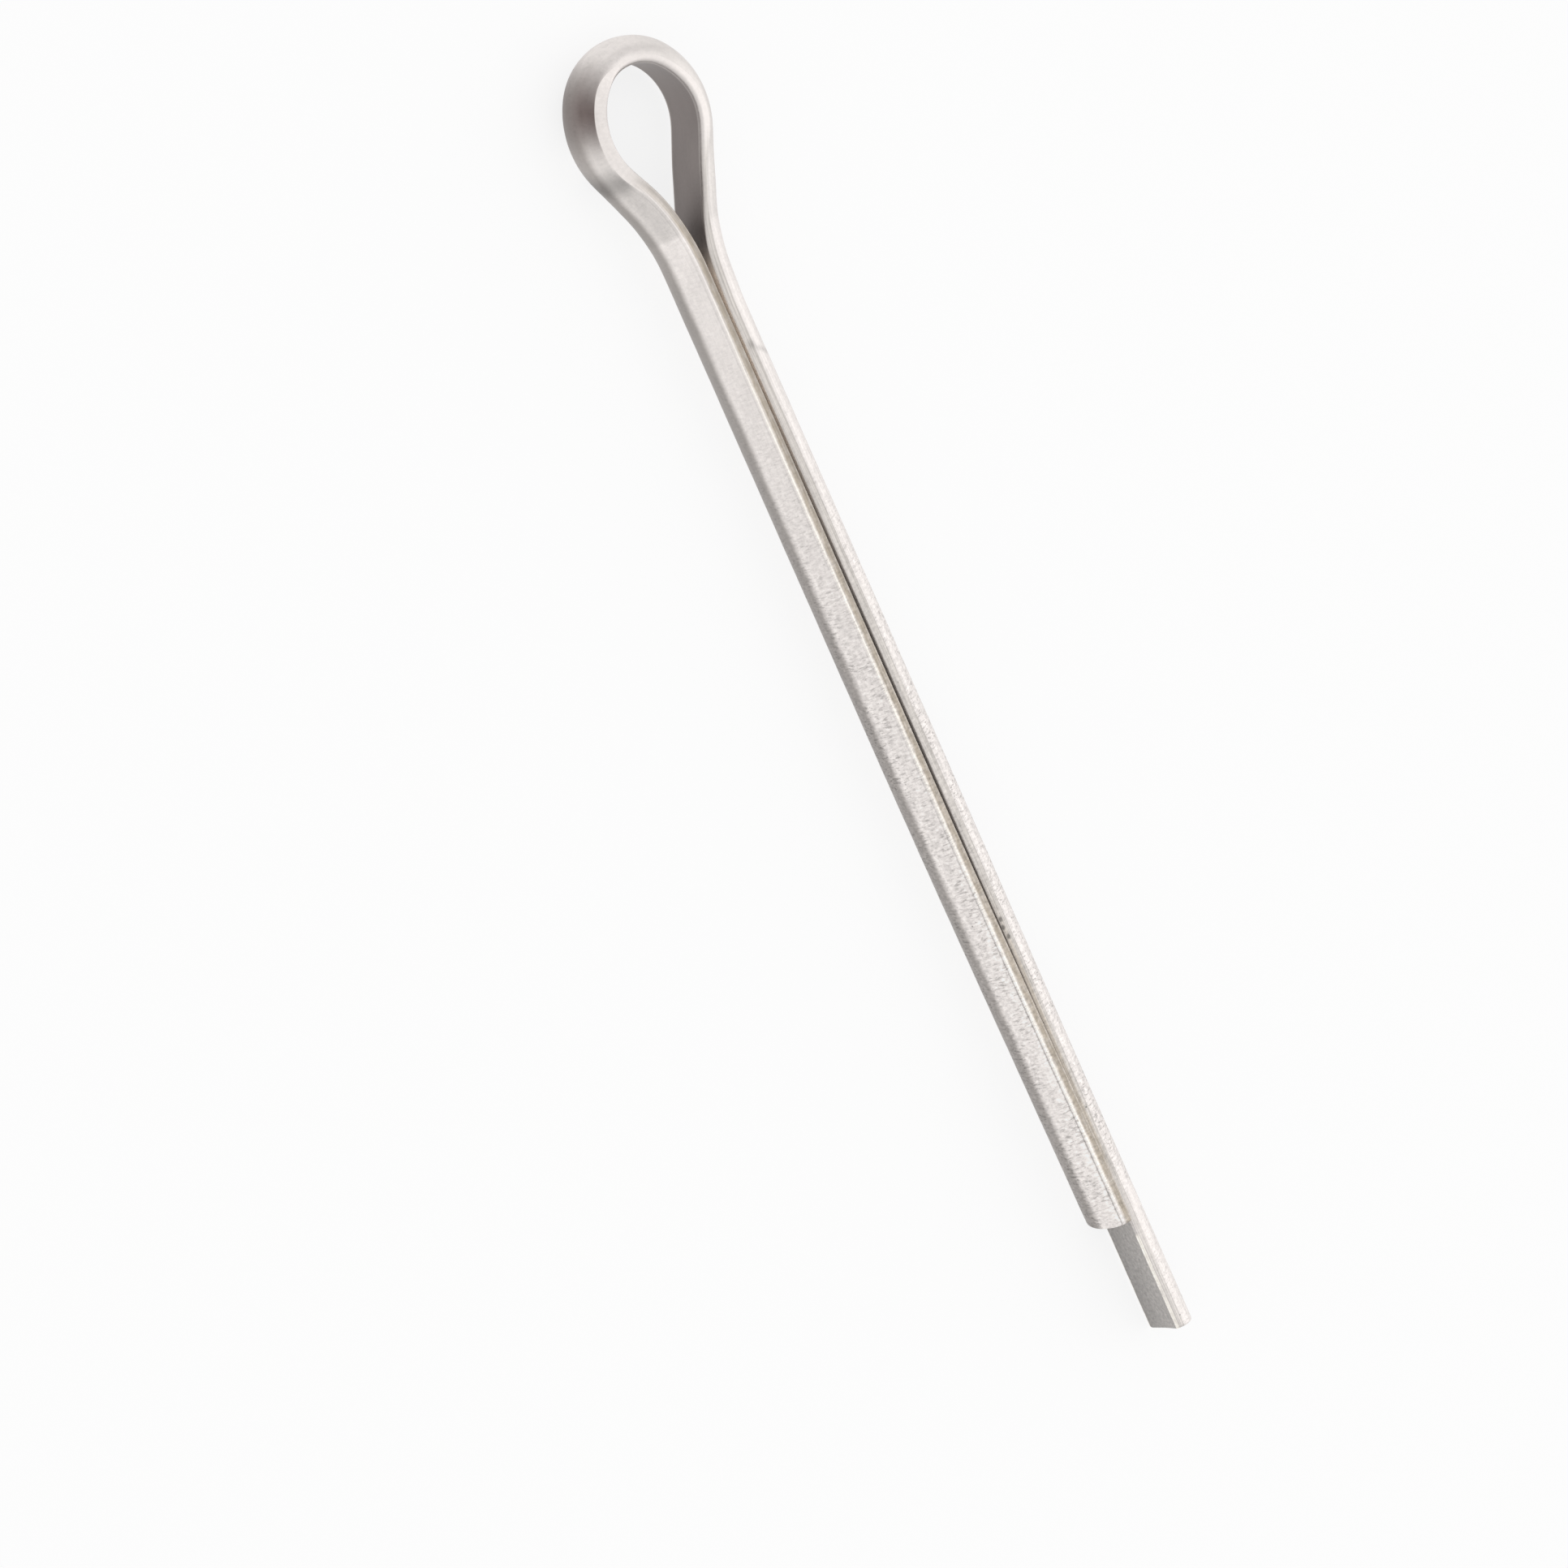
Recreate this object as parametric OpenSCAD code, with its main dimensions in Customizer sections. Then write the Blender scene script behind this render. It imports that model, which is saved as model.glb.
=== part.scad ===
// Split cotter pin: one length of half-round wire, folded back on itself into an
// open eye, with its two unequal legs lying flat to flat as a round shank.
// The pin lies on its side flats, with the eye towards -X and the leg tips towards +X.

/* [Wire] */
// Diameter of the round that the two legs make together, with the gap between them
shank_d = 2.97; // [2.85:0.01:3.4]
// Width of the wire across its two side flats
wire_w = 2.8; // [2.3:0.02:2.82]
// Thickness of the wire where it is bent round the eye
eye_wire_t = 1.3; // [1.1:0.02:1.5]
// Height of the side flats round the eye, from the inner face to the crease
eye_side_h = 0.7; // [0.3:0.02:0.94]
// Rounding of the two inner edges of the wire
edge_r = 0.1; // [0.02:0.02:0.2]

/* [Legs] */
// Length of the short leg, from the end of its neck to its furthest corner
leg_l = 50; // [25:0.5:80]
// Length that the long leg stands out past the short one, to its own furthest point
leg_ext = 6.2; // [1:0.1:12]
// Gap between the flat inner faces of the legs
leg_gap = 0.18; // [0.06:0.02:0.3]
// Length of the short leg's end that is sprung out of line
set_l = 12; // [6:0.5:18]
// Rise of the short leg's tip above the long leg
set_z = 0.25; // [0:0.01:0.27]
// Gap that is left between the legs at the short leg's tip
tip_gap = 0.05; // [0.02:0.01:0.06]
// Slant of the short leg's sheared end, across the wire's width
end_slant = 8; // [0:1:20]
// Slant of the long leg's sheared end, across the wire's width
long_slant = 4.5; // [0:0.5:10]
// Bevel of the long leg's sheared end, through the wire's thickness
end_bevel = 8; // [0:1:20]

/* [Eye] */
// Offset of the eye's nose from the parting plane, towards the long leg
nose_shift = 0.36; // [-0.4:0.02:0.4]
// Half of the angle that the nose turns through
nose_half_angle = 57; // [40:0.5:65]
// Inner radius of the nose
nose_r = 2.04; // [1.85:0.01:2.6]
// Inner radius of the cheek on the short leg's side
cheek_r_short = 3.4; // [2.9:0.05:5]
// Inner radius of the cheek on the long leg's side
cheek_r_long = 3.15; // [2.9:0.05:5]
// Angle between each straight flank and the legs
flank_angle = 25; // [20:0.5:28]
// Radius of the neck that leads into the short leg
neck_r_short = 10.8; // [5:0.1:12]
// Radius of the neck that leads into the long leg
neck_r_long = 17.3; // [5:0.1:18]

/* [Hidden] */
$fn = 96;

// Half widths of the shank and of the wire
shank_r = shank_d / 2;
half_w = wire_w / 2;
// A side flat is at least this much taller than the rounded inner edge below it
side_spare = 0.02;
// Thickness of a leg, and the height of its side flats from the inner face. A wire as
// wide as the round, or wider, keeps low side flats and has a flatter back
leg_t = shank_r - leg_gap / 2;
round_side_h = sqrt(max(0, shank_r * shank_r - half_w * half_w)) - leg_gap / 2;
leg_side_h = max(edge_r + side_spare, round_side_h);

// Each flank is at least this long, because the wire changes its section along it
min_flank_l = 0.6;

// The straight legs are true rounds, and the bends between them are skins over rings
// of points. Where the two meet, a skin stands proud of the leg by skin_over, and then
// runs into it for skin_bury and ends skin_under below its surface.
skin_over = 0.01;
skin_under = 0.03;
skin_bury = 0.8;
// Facets of a ring: across the round back, and round each inner edge
crown_facets = 24;
edge_facets = 4;
// Steps along the wire: round the whole nose, and on each other bend or flank
nose_steps = 20;
bend_steps = 9;
flank_steps = 3;

// Direction of an angle in plan
function towards(a) = [cos(a), sin(a)];
// Value part of the way from a to b
function between(a, b, share) = a + (b - a) * share;

// The inner face of the wire is followed in plan, from the inside of the nose. Each
// side is worked out as if it were the upper one, with y measured from the parting
// plane, and the short side is then mirrored.
nose_end = 180 - nose_half_angle;
flank_out = 90 - flank_angle;

// Corners of one side's path:
// nose centre, cheek centre, start and end of the flank, neck centre, neck radius
function side_path(cheek_r, neck_max, shift) =
    let (
        nose_c = [nose_r, shift],
        cheek_c = nose_c + (nose_r - cheek_r) * towards(nose_end),
        flank_start = cheek_c + cheek_r * towards(flank_out),
        fall = flank_start.y - leg_gap / 2,
        neck_limit = (fall - min_flank_l * sin(flank_angle)) / (1 - cos(flank_angle)),
        neck_r = min(neck_max, neck_limit),
        flank_l = (fall - neck_r * (1 - cos(flank_angle))) / sin(flank_angle),
        flank_end = flank_start + flank_l * towards(-flank_angle),
        neck_c = flank_end + neck_r * towards(flank_out)
    )
    [nose_c, cheek_c, flank_start, flank_end, neck_c, neck_r];

short_path = side_path(cheek_r_short, neck_r_short, -nose_shift);
long_path = side_path(cheek_r_long, neck_r_long, nose_shift);

// Ends of the necks and of the legs
short_start = short_path[4].x;
long_start = long_path[4].x;
short_tip = short_start + leg_l;
long_tip = short_tip + leg_ext;

// The sprung end is an arc that leaves the leg's line by set_y and set_z
set_y = leg_gap - tip_gap;
set_d = norm([set_y, set_z]);
set_angle = 2 * atan(set_d / set_l);
set_start = short_tip - set_l;
// Length past each tip that is sheared off, and the size of the blocks that do it
stock = 1;
cutter = 4 * shank_d;

// Middle of the overall box, which the origin lies under
mid_x = (long_tip - eye_wire_t - skin_over) / 2;
mid_y = nose_shift + (cheek_r_long - cheek_r_short) * (1 - sin(nose_half_angle)) / 2;

// Radius of the wire's round back
function crown_r(t, side_h) =
    ((t - side_h) * (t - side_h) + half_w * half_w) / (2 * (t - side_h));

// The wire's cross section, with x out from the inner face and y across the width:
// a flat inner face with rounded edges, two side flats and a round back
module wire_section(t, side_h) {
    r = crown_r(t, side_h);
    intersection() {
        translate([t - r, 0]) circle(r = r);
        union() {
            translate([edge_r, -half_w]) square([t, wire_w]);
            translate([0, edge_r - half_w]) square([t, wire_w - 2 * edge_r]);
            for (s = [-1, 1])
                translate([edge_r, s * (half_w - edge_r)]) circle(r = edge_r);
        }
    }
}

// The same section as a ring of points, grown by g all round
function section_ring(t, side_h, g) =
    let (
        r = crown_r(t, side_h),
        back_half_angle = asin((half_w + g) / (r + g)),
        edge_x = edge_r - g,
        edge_y = half_w + g - edge_r
    )
    concat(
        [for (i = [0 : crown_facets])
            let (a = between(-back_half_angle, back_half_angle, i / crown_facets))
            [t - r, 0] + (r + g) * towards(a)],
        [for (i = [0 : edge_facets])
            [edge_x, edge_y] + edge_r * towards(between(90, 180, i / edge_facets))],
        [for (i = [0 : edge_facets])
            [edge_x, -edge_y] + edge_r * towards(between(180, 270, i / edge_facets))]
    );

// How far the long leg's sheared face reaches past the middle of the wire's back
long_over = max([for (q = section_ring(leg_t, leg_side_h, 0))
    (q.x - leg_t) * tan(end_bevel) + q.y * tan(long_slant) / cos(end_bevel)]);

// A ring in space, standing on the inner face at point p with its back facing out.
// leg_share is 0 for the eye's section and 1 for the leg's
function ring(p, out, leg_share, g) =
    let (
        t = between(eye_wire_t, leg_t, leg_share),
        side_h = between(eye_side_h, leg_side_h, leg_share)
    )
    [for (q = section_ring(t, side_h, g))
        let (plan = p + q.x * towards(out))
        [plan.x, plan.y, q.y]];

// Rings round a bend about point c, with the wire's back away from c. The first
// place is left to the stretch before it
function bend_rings(c, r, a0, a1, steps) =
    [for (i = [1 : steps])
        let (a = between(a0, a1, i / steps))
        ring(c + r * towards(a), a, 0, skin_over)];

// Rings from the middle of the nose to where the skin ends inside the leg
function side_rings(path, cheek_r) =
    concat(
        bend_rings(path[0], nose_r, 180, nose_end, nose_steps / 2),
        bend_rings(path[1], cheek_r, nose_end, flank_out, bend_steps),
        [for (i = [1 : flank_steps])
            let (share = i / flank_steps)
            ring(between(path[2], path[3], share), flank_out, share, skin_over)],
        [for (i = [1 : bend_steps])
            let (out = between(flank_out, 90, i / bend_steps))
            ring(path[4] - path[5] * towards(out), out, 1, skin_over)],
        [ring([path[4].x + skin_bury, leg_gap / 2], 90, 1, -skin_under)]
    );

function mirrored(rings) = [for (r = rings) [for (q = r) [q.x, -q.y, q.z]]];
function reversed(list) = [for (i = [len(list) - 1 : -1 : 0]) list[i]];

// Closed skin over rings that all have the same number of points, with the wire's
// back on the left as the rings are followed
module skin(rings) {
    n = len(rings[0]);
    last = len(rings) - 1;
    sides = [for (i = [0 : last - 1], j = [0 : n - 1])
        let (a = i * n + j, b = i * n + (j + 1) % n)
        each [[a, b, b + n], [a, b + n, a + n]]];
    ends = [[for (j = [n - 1 : -1 : 0]) j], [for (j = [0 : n - 1]) last * n + j]];
    polyhedron(points = [for (r = rings) each r], faces = concat(sides, ends));
}

// Nose, cheeks, flanks and necks
module eye() {
    skin(concat(
        reversed(side_rings(long_path, cheek_r_long)),
        [ring([0, nose_shift], 180, 0, skin_over)],
        mirrored(side_rings(short_path, cheek_r_short))
    ));
}

// Straight stretch of a leg
module leg(start, end) {
    translate([start, leg_gap / 2, 0])
        rotate([90, 0, 90])
            linear_extrude(end - start) wire_section(leg_t, leg_side_h);
}

// A ring of the sprung end, moved and tilted to where it lies on the arc
function sprung_ring(share) =
    let (
        a = set_angle * share,
        along = set_l * sin(a) / sin(set_angle),
        off = set_d * (1 - cos(a)) / (1 - cos(set_angle))
    )
    [for (q = ring([0, 0], 90, 1, skin_over))
        let (lean = (q.z * set_z - q.y * set_y) / set_d * sin(a))
        [set_start + along - lean, leg_gap / 2, 0]
            + [0, q.y - off * set_y / set_d, q.z + off * set_z / set_d]];

// The end of the short leg, bent up and towards the other leg
module sprung_end() {
    skin(concat(
        [for (i = [bend_steps : -1 : 0]) sprung_ring((1 + stock / set_l) * i / bend_steps)],
        [ring([set_start - skin_bury, leg_gap / 2], 90, 1, -skin_under)]
    ));
}

module short_leg() {
    leg(short_start, set_start);
    difference() {
        sprung_end();
        translate([short_tip, 0, half_w + set_z])
            rotate([0, end_slant, 0])
                translate([0, -cutter / 2, -cutter]) cube([cutter, cutter, 2 * cutter]);
    }
}

module long_leg() {
    difference() {
        leg(long_start, long_tip + stock);
        translate([long_tip - long_over, leg_gap / 2 + leg_t, 0])
            rotate([0, -long_slant, -end_bevel])
                translate([0, -cutter, -cutter / 2]) cube([cutter, 2 * cutter, cutter]);
    }
}

module cotter_pin() {
    color([0.76, 0.74, 0.72])
        translate([-mid_x, -mid_y, half_w + skin_over]) {
            eye();
            long_leg();
            mirror([0, 1, 0]) short_leg();
        }
}

cotter_pin();
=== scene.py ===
"""Split cotter pin: the drawn wire is one swept surface, with its creases, inner edges and
sheared ends eased, in a satin steel that shows how the wire was drawn, bent and cut."""

import math

import bpy
import numpy as np
from mathutils import Matrix


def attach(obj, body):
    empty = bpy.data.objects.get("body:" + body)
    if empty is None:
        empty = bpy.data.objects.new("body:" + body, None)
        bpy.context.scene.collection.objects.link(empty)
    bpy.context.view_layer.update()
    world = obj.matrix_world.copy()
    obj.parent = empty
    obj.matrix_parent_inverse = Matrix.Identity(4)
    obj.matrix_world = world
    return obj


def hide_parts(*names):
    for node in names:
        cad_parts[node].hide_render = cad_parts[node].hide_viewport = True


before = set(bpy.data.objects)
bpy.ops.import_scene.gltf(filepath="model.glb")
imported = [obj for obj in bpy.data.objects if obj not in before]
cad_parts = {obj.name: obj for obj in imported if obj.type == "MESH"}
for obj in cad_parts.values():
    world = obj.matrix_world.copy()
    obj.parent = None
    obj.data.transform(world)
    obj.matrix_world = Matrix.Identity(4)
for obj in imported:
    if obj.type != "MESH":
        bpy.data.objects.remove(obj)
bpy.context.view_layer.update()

MM = 0.001

# The pin's sizes, in millimetres and degrees, as in the part's own source
SHANK_D = 2.97
WIRE_W = 2.8
EYE_WIRE_T = 1.3
EYE_SIDE_H = 0.7
EDGE_R = 0.1
LEG_L = 50
LEG_EXT = 6.2
LEG_GAP = 0.18
SET_Z = 0.25
END_SLANT = 8
LONG_SLANT = 4.5
END_BEVEL = 8
NOSE_SHIFT = 0.36
NOSE_HALF_ANGLE = 57
NOSE_R = 2.04
CHEEK_R_SHORT = 3.4
CHEEK_R_LONG = 3.15
FLANK_ANGLE = 25
NECK_R_SHORT = 10.8
NECK_R_LONG = 17.3
MIN_FLANK_L = 0.6

# Room that the wire leaves inside the solid's skin
SKIN = 0.01
# Halves of the round and of the width, a leg's thickness and its side flat's height, the way
# the wire's back faces where the nose and the cheeks end, and the middle of the wire above
# the floor
SHANK_R = SHANK_D / 2
HALF_W = WIRE_W / 2
LEG_T = SHANK_R - LEG_GAP / 2
LEG_SIDE_H = math.sqrt(SHANK_R**2 - HALF_W**2) - LEG_GAP / 2
NOSE_END = 180 - NOSE_HALF_ANGLE
FLANK_OUT = 90 - FLANK_ANGLE
MID_Z = HALF_W + SKIN

# Easing of the creases between the round back and the side flats: on a leg, on the cheeks
# and at the nose
CREASE_LEG = 0.045
CREASE_EYE = 0.15
CREASE_NOSE = 0.65
# Rounding of the inner edges: at the nose, on the short cheek and flank, on the long ones,
# and on the short leg. The long leg has the solid's own rounding
EDGE_NOSE = 0.28
EDGE_EYE = 0.05
EDGE_LONG = 0.25
EDGE_SHORT = 0.055
# The bending spread the eye's upper inner edge by this much, past this place across the
# width, and on the long side the inner face leans out by this much at its upper edge
EYE_SPREAD = 0.1
SPREAD_PAST = 0.7
INNER_LEAN = 0.16
# The short leg's inner face is a little fuller
SHORT_FULLER = 0.045
# The long neck closes a little sooner than the solid's arc does, by this much at most
NECK_IN = 0.095
# Stretches of the wire, in millimetres from the middle of the nose, over which the nose's
# softness dies away on each side, the spread comes and goes, the long side's rounder edge
# dies away, and the long neck closes sooner and is back on the solid's arc
NOSE_OUT_SHORT = (0.3, 1.7)
NOSE_OUT_LONG = (1.8, 4.4)
SPREAD_IN = (0.0, 2.5)
SPREAD_OUT = (7.0, 10.0)
LONG_EDGE_OUT = (8.5, 11.0)
CLOSING_IN = (7.6, 9.6)
CLOSING_OUT = (10.4, 13.2)
# The eye's section turns into the leg's along the flank, from this far before it until
# this far past it
SECTION_BEFORE = 0.4
SECTION_PAST = 0.8
# Length over which the wire's bends run into each other
BEND_EASE = 0.3
# The legs' ends draw together: where that starts and is over, measured from the nose,
# and how far each leg moves
CLOSE_FROM = 34.3
CLOSE_TO = 56.0
CLOSE_SHORT = 0.1
CLOSE_LONG = 0.054
# Length over which the short leg's tip rises
RISE_L = 21.0
# Rounding of a sheared end: how far it runs along the wire, how far it draws in at the
# inner face and at the back, and the length that the end's slant takes up
END_EASE = 0.15
END_IN_FACE = 0.12
END_IN_BACK = 0.2
END_REACH = 0.9
# Unevenness of the drawn surface, as waves of (length, depth, turn), how much a wave turns
# round the wire, and how far the surface is set in to make room for them
WAVES = ((0.83, 0.0016, 0.4), (0.31, 0.0012, 1.9), (2.3, 0.0030, 3.1), (5.9, 0.0030, 5.2))
WAVE_TWIST = 2.3
WAVE_ROOM = 0.006

# Step of the inner line, and how many widths its bell curve reaches
LINE_STEP = 0.01
BELL_REACH = 3
# Rings near a tip, along each leg and round the eye
TIP_RINGS = 12
SHORT_RINGS = 290
EYE_RINGS = 330
LONG_RINGS = 320
# Steps across half of the section, on the back and round the crease and the inner edge,
# and places on the side flat and the inner face as shares of them
BACK_STEPS = 20
FOLD_STEPS = 6
EDGE_STEPS = 5
FLAT_SHARES = np.array([0.06, 0.25, 0.5, 0.75, 0.94])
FACE_SHARES = np.array([0.96, 0.85, 0.6, 0.3, 0.0])
# Zones of the section, and how far each counts as side flat in the finish
ON_BACK, ON_FOLD, ON_FLAT, ON_EDGE, ON_FACE = range(5)
SIDE_FLAT_SHARES = np.array([0, 0, 1, 0.8, 0])
# How far the inner edge, where it meets the face, counts as inner face
EDGE_INNER = 0.7
# Steps round a sheared end's eased edge, sizes of the rings across its face, and how far
# the last ring of the edge counts as sheared
END_STEPS = 5
CAP_SIZES = np.array([0.8, 0.6, 0.4, 0.2, 0.04])
CAP_EDGE = 0.5


def towards(degrees):
    """Unit vector in plan: (cos a, sin a)."""
    a = np.radians(degrees)
    return np.stack([np.cos(a), np.sin(a)], -1)


def smooth(x, start, end):
    """Smooth step 3 h^2 - 2 h^3, where h runs from 0 at start to 1 at end."""
    h = np.clip((x - start) / (end - start), 0, 1)
    return h * h * (3 - 2 * h)


def between(a, b, share):
    """Value part of the way from a to b: a + (b - a) share."""
    return a + (b - a) * share


def side_runs(cheek_r, neck_max, shift):
    """One side's path, from the inside of the nose: the lengths of nose, cheek, flank and
    neck along the inner face, and where the neck ends."""
    nose_c = np.array([NOSE_R, shift])
    cheek_c = nose_c + (NOSE_R - cheek_r) * towards(NOSE_END)
    flank_start = cheek_c + cheek_r * towards(FLANK_OUT)
    fall = flank_start[1] - LEG_GAP / 2
    slope = math.radians(FLANK_ANGLE)
    neck_r = min(neck_max, (fall - MIN_FLANK_L * math.sin(slope)) / (1 - math.cos(slope)))
    flank_l = (fall - neck_r * (1 - math.cos(slope))) / math.sin(slope)
    neck_end = flank_start[0] + flank_l * math.cos(slope) + neck_r * math.sin(slope)
    lengths = [
        NOSE_R * math.radians(NOSE_HALF_ANGLE),
        cheek_r * math.radians(NOSE_END - FLANK_OUT),
        flank_l,
        neck_r * slope,
    ]
    return lengths, neck_end


short_runs, short_start = side_runs(CHEEK_R_SHORT, NECK_R_SHORT, -NOSE_SHIFT)
long_runs, long_start = side_runs(CHEEK_R_LONG, NECK_R_LONG, NOSE_SHIFT)
SHORT_TIP = short_start + LEG_L
LONG_TIP = SHORT_TIP + LEG_EXT
MID_X = (LONG_TIP - EYE_WIRE_T - SKIN) / 2
MID_Y = NOSE_SHIFT + (CHEEK_R_LONG - CHEEK_R_SHORT) * (
    1 - math.sin(math.radians(NOSE_HALF_ANGLE))
) / 2
# Distances along the inner face from the middle of the nose to the ends of the nose, the
# cheek, the flank, the neck and the leg
short_ends = np.cumsum([0, *short_runs, SHORT_TIP - short_start])
long_ends = np.cumsum([0, *long_runs, LONG_TIP - long_start])
CHEEK_END, FLANK_END, NECK_END, TIP = 2, 3, 4, -1


def inner_line():
    """The inner face in plan: places s along it, from the short leg's tip through 0 at the
    nose to the long leg's tip, the point at each, and the way the wire's back faces. That
    way is a running angle with straight pieces, one to a bend, eased by a short bell curve,
    and the point is the running sum of the unit vector at right angles to it."""
    s = np.arange(-short_ends[TIP], long_ends[TIP] + LINE_STEP, LINE_STEP)
    turns = [180, NOSE_END, FLANK_OUT, FLANK_OUT, 90, 90]
    out = np.where(
        s < 0,
        360 - np.interp(-s, short_ends, turns),
        np.interp(s, long_ends, turns),
    )
    reach = int(BELL_REACH * BEND_EASE / LINE_STEP)
    bell = np.exp(-0.5 * (np.arange(-reach, reach + 1) * LINE_STEP / BEND_EASE) ** 2)
    padded = np.pad(out, reach, mode="edge")
    out = np.convolve(padded, bell / bell.sum(), mode="valid")
    along = towards(out - 90)
    steps = (along[1:] + along[:-1]) / 2 * LINE_STEP
    p = np.concatenate([[[0, 0]], np.cumsum(steps, axis=0)])
    p -= p[np.argmin(np.abs(s))] - [0, NOSE_SHIFT]
    # Easing lets the legs drift by a few micrometres, which the flanks and necks take up
    for side, ends, tip in ((-1, short_ends, 0), (1, long_ends, -1)):
        drift = side * LEG_GAP / 2 - p[tip, 1]
        p[:, 1] += drift * smooth(side * s, ends[CHEEK_END], ends[NECK_END])
    return s, p, out


def crown_r(t, side_h):
    """Radius of the round back: ((t - h)^2 + w^2) / (2 (t - h)), w being half the width."""
    return ((t - side_h) ** 2 + HALF_W**2) / (2 * (t - side_h))


def half_section(t, side_h, crease, edge_r):
    """Half of the wire's cross section, from the middle of the back to the middle of the
    inner face, for a column of thicknesses: (height off the inner face, place across the
    width), and each place's zone. It is an arc, the eased crease, the side flat, the
    rounded inner edge and the inner face. Each arc is centre + radius (cos a, sin a)."""
    t, side_h, crease, edge_r = (x[:, None] for x in (t, side_h, crease, edge_r))
    r = crown_r(t, side_h)
    crease_x = t - r + np.sqrt((r - crease) ** 2 - (HALF_W - crease) ** 2)
    meet = np.arctan2(HALF_W - crease, crease_x - (t - r))
    quarter = math.pi / 2
    share = np.linspace(0, 1, BACK_STEPS + 1)[None, :-1]
    back = (t - r + r * np.cos(meet * share), r * np.sin(meet * share))
    a = meet + (quarter - meet) * np.linspace(0, 1, FOLD_STEPS + 1)[None, :]
    fold = (crease_x + crease * np.cos(a), HALF_W - crease + crease * np.sin(a))
    share = FLAT_SHARES[None, :]
    flat = (crease_x + (edge_r - crease_x) * share, HALF_W + 0 * t * share)
    a = quarter * (1 + np.linspace(0, 1, EDGE_STEPS + 1))[None, :] + 0 * t
    edge = (edge_r + edge_r * np.cos(a), HALF_W - edge_r + edge_r * np.sin(a))
    share = FACE_SHARES[None, :]
    face = (0 * t * share, (HALF_W - edge_r) * share + 0 * t)
    pieces = (back, fold, flat, edge, face)
    zones = (ON_BACK, ON_FOLD, ON_FLAT, ON_EDGE, ON_FACE)
    zone = np.repeat(zones, [p[0].shape[1] for p in pieces])
    return *(np.concatenate([p[k] for p in pieces], 1) for k in (0, 1)), zone


def sections(t, side_h, crease, edge_r):
    """The whole cross section, round from the middle of the back, with the second half the
    first one's mirror image, and the zone that each place belongs to."""
    off, across, zone = half_section(t, side_h, crease, edge_r)
    back = slice(-2, 0, -1)
    return (
        np.concatenate([off, off[:, back]], 1),
        np.concatenate([across, -across[:, back]], 1),
        np.concatenate([zone, zone[back]]),
    )


def long_reach(off, z):
    """How far the long leg's slanted end reaches past the middle of the back, at a height
    off the inner face and a place z across the width: (off - t) tan b - z tan a / cos b,
    with b the bevel and a the slant."""
    slant, bevel = math.radians(LONG_SLANT), math.radians(END_BEVEL)
    return (off - LEG_T) * math.tan(bevel) - z * math.tan(slant) / math.cos(bevel)


LEG_SECTION = [np.array([size]) for size in (LEG_T, LEG_SIDE_H, CREASE_LEG, EDGE_R)]
leg_off, leg_across, _ = half_section(*LEG_SECTION)
LONG_OVER = float(long_reach(leg_off, -leg_across).max())


def ring_places():
    """Places along the wire for the rings: close on the eye, wider apart on the legs, and
    close again at the sheared ends."""
    eye = [-short_ends[NECK_END], long_ends[NECK_END]]
    tips = [-short_ends[TIP], long_ends[TIP]]
    return np.concatenate([
        np.linspace(tips[0] + END_EASE, tips[0] + END_REACH, TIP_RINGS)[:-1],
        np.linspace(tips[0] + END_REACH, eye[0], SHORT_RINGS)[:-1],
        np.linspace(eye[0], eye[1], EYE_RINGS)[:-1],
        np.linspace(eye[1], tips[1] - END_REACH, LONG_RINGS)[:-1],
        np.linspace(tips[1] - END_REACH, tips[1] - END_EASE, TIP_RINGS),
    ])


def waviness(s, around):
    """Slight unevenness of the drawn surface, in millimetres: the sum of a few long sine
    waves, depth sin(2 pi s / length + twist around + turn)."""
    total = 0
    for length, depth, turn in WAVES:
        total = total + depth * np.sin(2 * math.pi * s / length + WAVE_TWIST * around + turn)
    return total


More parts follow.
